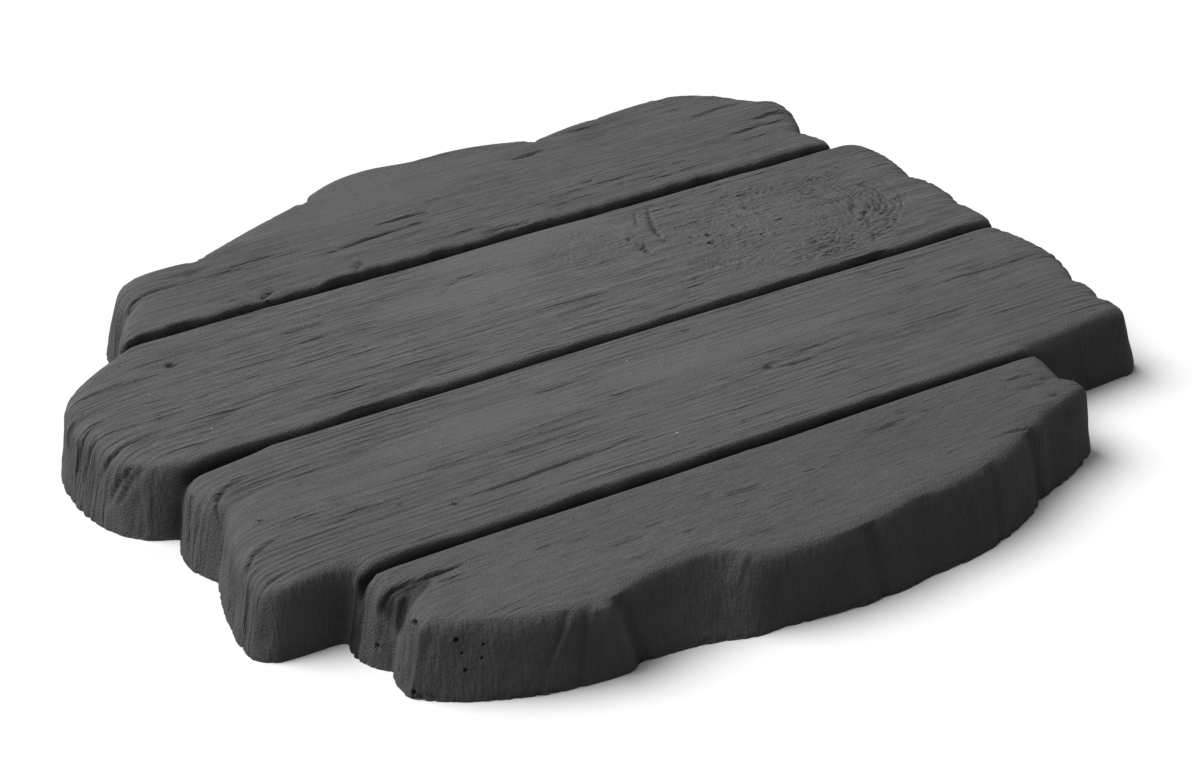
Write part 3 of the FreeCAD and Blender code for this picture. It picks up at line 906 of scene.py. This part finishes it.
def thread_share(place, dashed):
    """How strong the finest grain is on each plank."""
    along, across = place[:2]
    second = between(across, MIDDLE_GROOVE, BACK_GROOVE, 2.0)
    right_third = between(across, FRONT_GROOVE, MIDDLE_GROOVE, 2.0) * along.ramp(60.0, 160.0)
    return second * 0.35 - right_third * 0.2 - dashed * 0.25 + 1.0


def close_ridges(place):
    """Narrow even ridges along parts of the second and third planks."""
    along, across = place[:2]
    warp = noise(place, (120, 30, 30), 1.0) * 2.0 + noise(place, (30, 9, 9), 1.0) * 0.5
    close = between(across, -106.0, -72.0, 8.0) + between(across, -44.0, -19.0, 5.0)
    close = close + between(across, 0.0, 45.0, 12.0) * along.ramp(20.0, 70.0).inverse() * 0.6
    close = close * noise(place, (70, 12, 12), 1.0).ramp(-0.9, 0.4)
    return ((across + warp) * (math.tau / RIDGE_PITCH)).math("SINE") * close


def dots(place, spacing, edge, channel, left_out):
    """1 on scattered dots and 0 elsewhere. A channel of the cells' colour picks those left out."""
    tree = place[0].tree
    cells = add_node(tree, "ShaderNodeTexVoronoi",
                     {"Vector": combined(place, (spacing, spacing, spacing)), "Scale": 1.0})
    chance = axes(tree, cells.outputs["Color"])[channel]
    return Field(tree, cells.outputs["Distance"]).ramp(*edge).inverse() * chance.above(left_out)


def concrete_material(finish):
    """Grey cast concrete: mottled and sandy, with painted shade in its cuts, hollows and grooves, painted
    light falloff across the planks, and pale grains and pinholes.
    """
    material, tree, shader = new_material("cast_concrete")
    position = tree.nodes.new("ShaderNodeTexCoord").outputs["Object"]
    place = [field / MM for field in axes(tree, position)]
    cut, height, side, painted_groove_shade, plain, dashed, rough, share = [attribute(tree, name) for name in MARKS]

    mottle = noise(place, (55, 30, 30), 3.0) * 0.05 + noise(place, (14, 7, 9), 2.0) * 0.055
    sand = noise(place, (0.9, 0.8, 0.9), 2.0) * (side * -0.4 + 1.0)
    share = share * thread_share(place, dashed)
    long_grain = noise(place, (34, 0.8, 25), 2.0) * dashed.inverse()
    short_grain = noise(place, (9, 0.9, 25), 2.0) * dashed
    grain = (long_grain + short_grain) * plain.inverse() * share
    grain = grain + noise(place, (1.4, 40, 6), 2.0) * side * 0.6
    ridges = close_ridges(place) * plain.inverse() * share
    # Painted shade: darker in the cracks, pits, grain lines and knot rings by their depth, and in
    # pressed-down hollows.
    dark = cut.ramp(0.1, 1.4) * -0.5 + height.ramp(-1.2, 0.2).inverse() * -0.2
    light = mottle + sand * 0.20 + grain * 0.22 + ridges * 0.08 + dark + 1.0
    # Painted light falloff across the planks, and painted shade down in the grooves, where shadow falls.
    light = light * painted_light_falloff(place, side) * (painted_groove_shade * -0.7 + 1.0)
    shade = add_node(tree, "ShaderNodeVectorMath", {"Scale": light}, operation="SCALE")
    shade.inputs[0].default_value = finish.concrete
    pale = dots(place, 11.0, (0.02, 0.05), 0, 0.93)
    mix = add_node(tree, "ShaderNodeMix", {"Factor": pale}, data_type="RGBA")
    tree.links.new(shade.outputs[0], mix.inputs[MIX_FIRST])
    mix.inputs[MIX_SECOND].default_value = (*finish.speck, 1.0)
    tree.links.new(mix.outputs[MIX_RESULT], shader.inputs["Base Color"])

    pinholes = dots(place, 7.0, (0.03, 0.09), 1, 0.7)
    hammered = noise(place, (2.2, 1.7, 2.0), 2.0) * rough
    relief = sand * 0.18 + grain * 0.45 + ridges * 0.22 + hammered * 0.5 - pinholes * 0.5
    bump = add_node(tree, "ShaderNodeBump", {"Height": relief, "Strength": 1.0, "Distance": MM})
    tree.links.new(bump.outputs[0], shader.inputs["Normal"])
    shader.inputs["Roughness"].default_value = finish.roughness
    shader.inputs["Specular IOR Level"].default_value = 0.15
    return material


class STONE_OT_press_stone(bpy.types.Operator):
    """Makes the stone from the casting: an even mesh, pressed relief and a concrete finish"""

    bl_idname = "stone.press_stone"
    bl_label = "Press the Stone"

    def execute(self, context):
        sizes = context.scene.stone_sizes
        stone = cast_blank(sizes)
        close_underside()
        refine_marks(stone)
        add_modifier(stone, "NODES", node_group=relief_tree(sizes))
        bpy.ops.object.shade_smooth_by_angle(angle=math.radians(60))
        stone.data.materials.clear()
        stone.data.materials.append(concrete_material(context.scene.stone_finish))
        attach(stone, "root")
        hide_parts(CASTING)
        triangles = sum(len(face.vertices) - 2 for face in stone.data.polygons)
        if triangles >= MOST_TRIANGLES:
            raise RuntimeError("the stone has {} triangles".format(triangles))
        return {"FINISHED"}


def seen_directly(tree):
    """1 for rays from the camera, or that it sees in gloss or through glass, and 0 for other light."""
    path = tree.nodes.new("ShaderNodeLightPath")
    seen = [Field(tree, path.outputs[name]) for name in
            ("Is Camera Ray", "Is Glossy Ray", "Is Transmission Ray")]
    return seen[0].math("MAXIMUM", seen[1]).math("MAXIMUM", seen[2])


def floor_material(look):
    """A pale floor that throws little light back at the stone."""
    material, tree, shader = new_material("pale_floor")
    mix = add_node(tree, "ShaderNodeMix", {"Factor": seen_directly(tree)}, data_type="RGBA")
    mix.inputs[MIX_FIRST].default_value = DIM_FLOOR
    mix.inputs[MIX_SECOND].default_value = (*look.floor_colour, 1.0)
    tree.links.new(mix.outputs[MIX_RESULT], shader.inputs["Base Color"])
    shader.inputs["Roughness"].default_value = 1.0
    shader.inputs["Specular IOR Level"].default_value = 0.0
    return material


def light_world(look):
    """Even soft light from all round, white where the camera sees past the floor."""
    world = bpy.data.worlds.new("studio_sky")
    world.use_nodes = True
    tree = world.node_tree
    soft = tree.nodes["Background"]
    soft.inputs["Strength"].default_value = look.sky_strength
    soft.inputs["Color"].default_value = WHITE
    white = add_node(tree, "ShaderNodeBackground", {"Color": WHITE, "Strength": 1.0})
    mix = add_node(tree, "ShaderNodeMixShader", {0: seen_directly(tree)})
    tree.links.new(soft.outputs[0], mix.inputs[1])
    tree.links.new(white.outputs[0], mix.inputs[2])
    tree.links.new(mix.outputs[0], tree.nodes["World Output"].inputs["Surface"])
    bpy.context.scene.world = world


class STONE_OT_set_stage(bpy.types.Operator):
    """Sets the floor, the light and the camera"""

    bl_idname = "stone.set_stage"
    bl_label = "Set the Stage"

    def execute(self, context):
        look = context.scene.stone_stage
        bpy.ops.object.select_all(action="DESELECT")
        bpy.ops.mesh.primitive_plane_add(size=look.floor_size)
        floor = context.object
        floor.name = "floor"
        floor.data.materials.append(floor_material(look))
        bpy.ops.object.light_add(type="SUN", rotation=(0.0, look.lamp_lean, look.lamp_side))
        lamp = context.object
        lamp.name = "overhead_lamp"
        lamp.data.energy = look.lamp_strength
        lamp.data.angle = look.lamp_spread
        light_world(look)
        bpy.ops.object.camera_add(location=look.camera_place, rotation=look.camera_turn)
        camera = context.object
        camera.name = "photo_camera"
        camera.data.lens = look.camera_lens
        context.scene.camera = camera
        context.scene.view_settings.view_transform = "Standard"
        return {"FINISHED"}


class STONE_PT_sidebar(bpy.types.Panel):
    """Lists the stone's steps and settings"""

    bl_label = "Stepping Stone"
    bl_idname = "STONE_PT_sidebar"
    bl_space_type = "VIEW_3D"
    bl_region_type = "UI"
    bl_category = "Stepping Stone"

    def draw(self, context):
        scene = context.scene
        for settings in (scene.stone_sizes, scene.stone_finish, scene.stone_stage):
            column = self.layout.column()
            for name in settings.__annotations__:
                column.prop(settings, name)
        self.layout.operator(STONE_OT_press_stone.bl_idname)
        self.layout.operator(STONE_OT_set_stage.bl_idname)


CLASSES = (
    StoneSizes,
    StoneFinish,
    StageLook,
    STONE_OT_press_stone,
    STONE_OT_set_stage,
    STONE_PT_sidebar,
)


def register():
    for cls in CLASSES:
        bpy.utils.register_class(cls)
    bpy.types.Scene.stone_sizes = bpy.props.PointerProperty(type=StoneSizes)
    bpy.types.Scene.stone_finish = bpy.props.PointerProperty(type=StoneFinish)
    bpy.types.Scene.stone_stage = bpy.props.PointerProperty(type=StageLook)


def unregister():
    del bpy.types.Scene.stone_stage
    del bpy.types.Scene.stone_finish
    del bpy.types.Scene.stone_sizes
    for cls in reversed(CLASSES):
        bpy.utils.unregister_class(cls)


def main():
    """Builds the stone and its stage."""
    register()
    bpy.ops.stone.press_stone()
    bpy.ops.stone.set_stage()


if __name__ == "__main__":
    main()
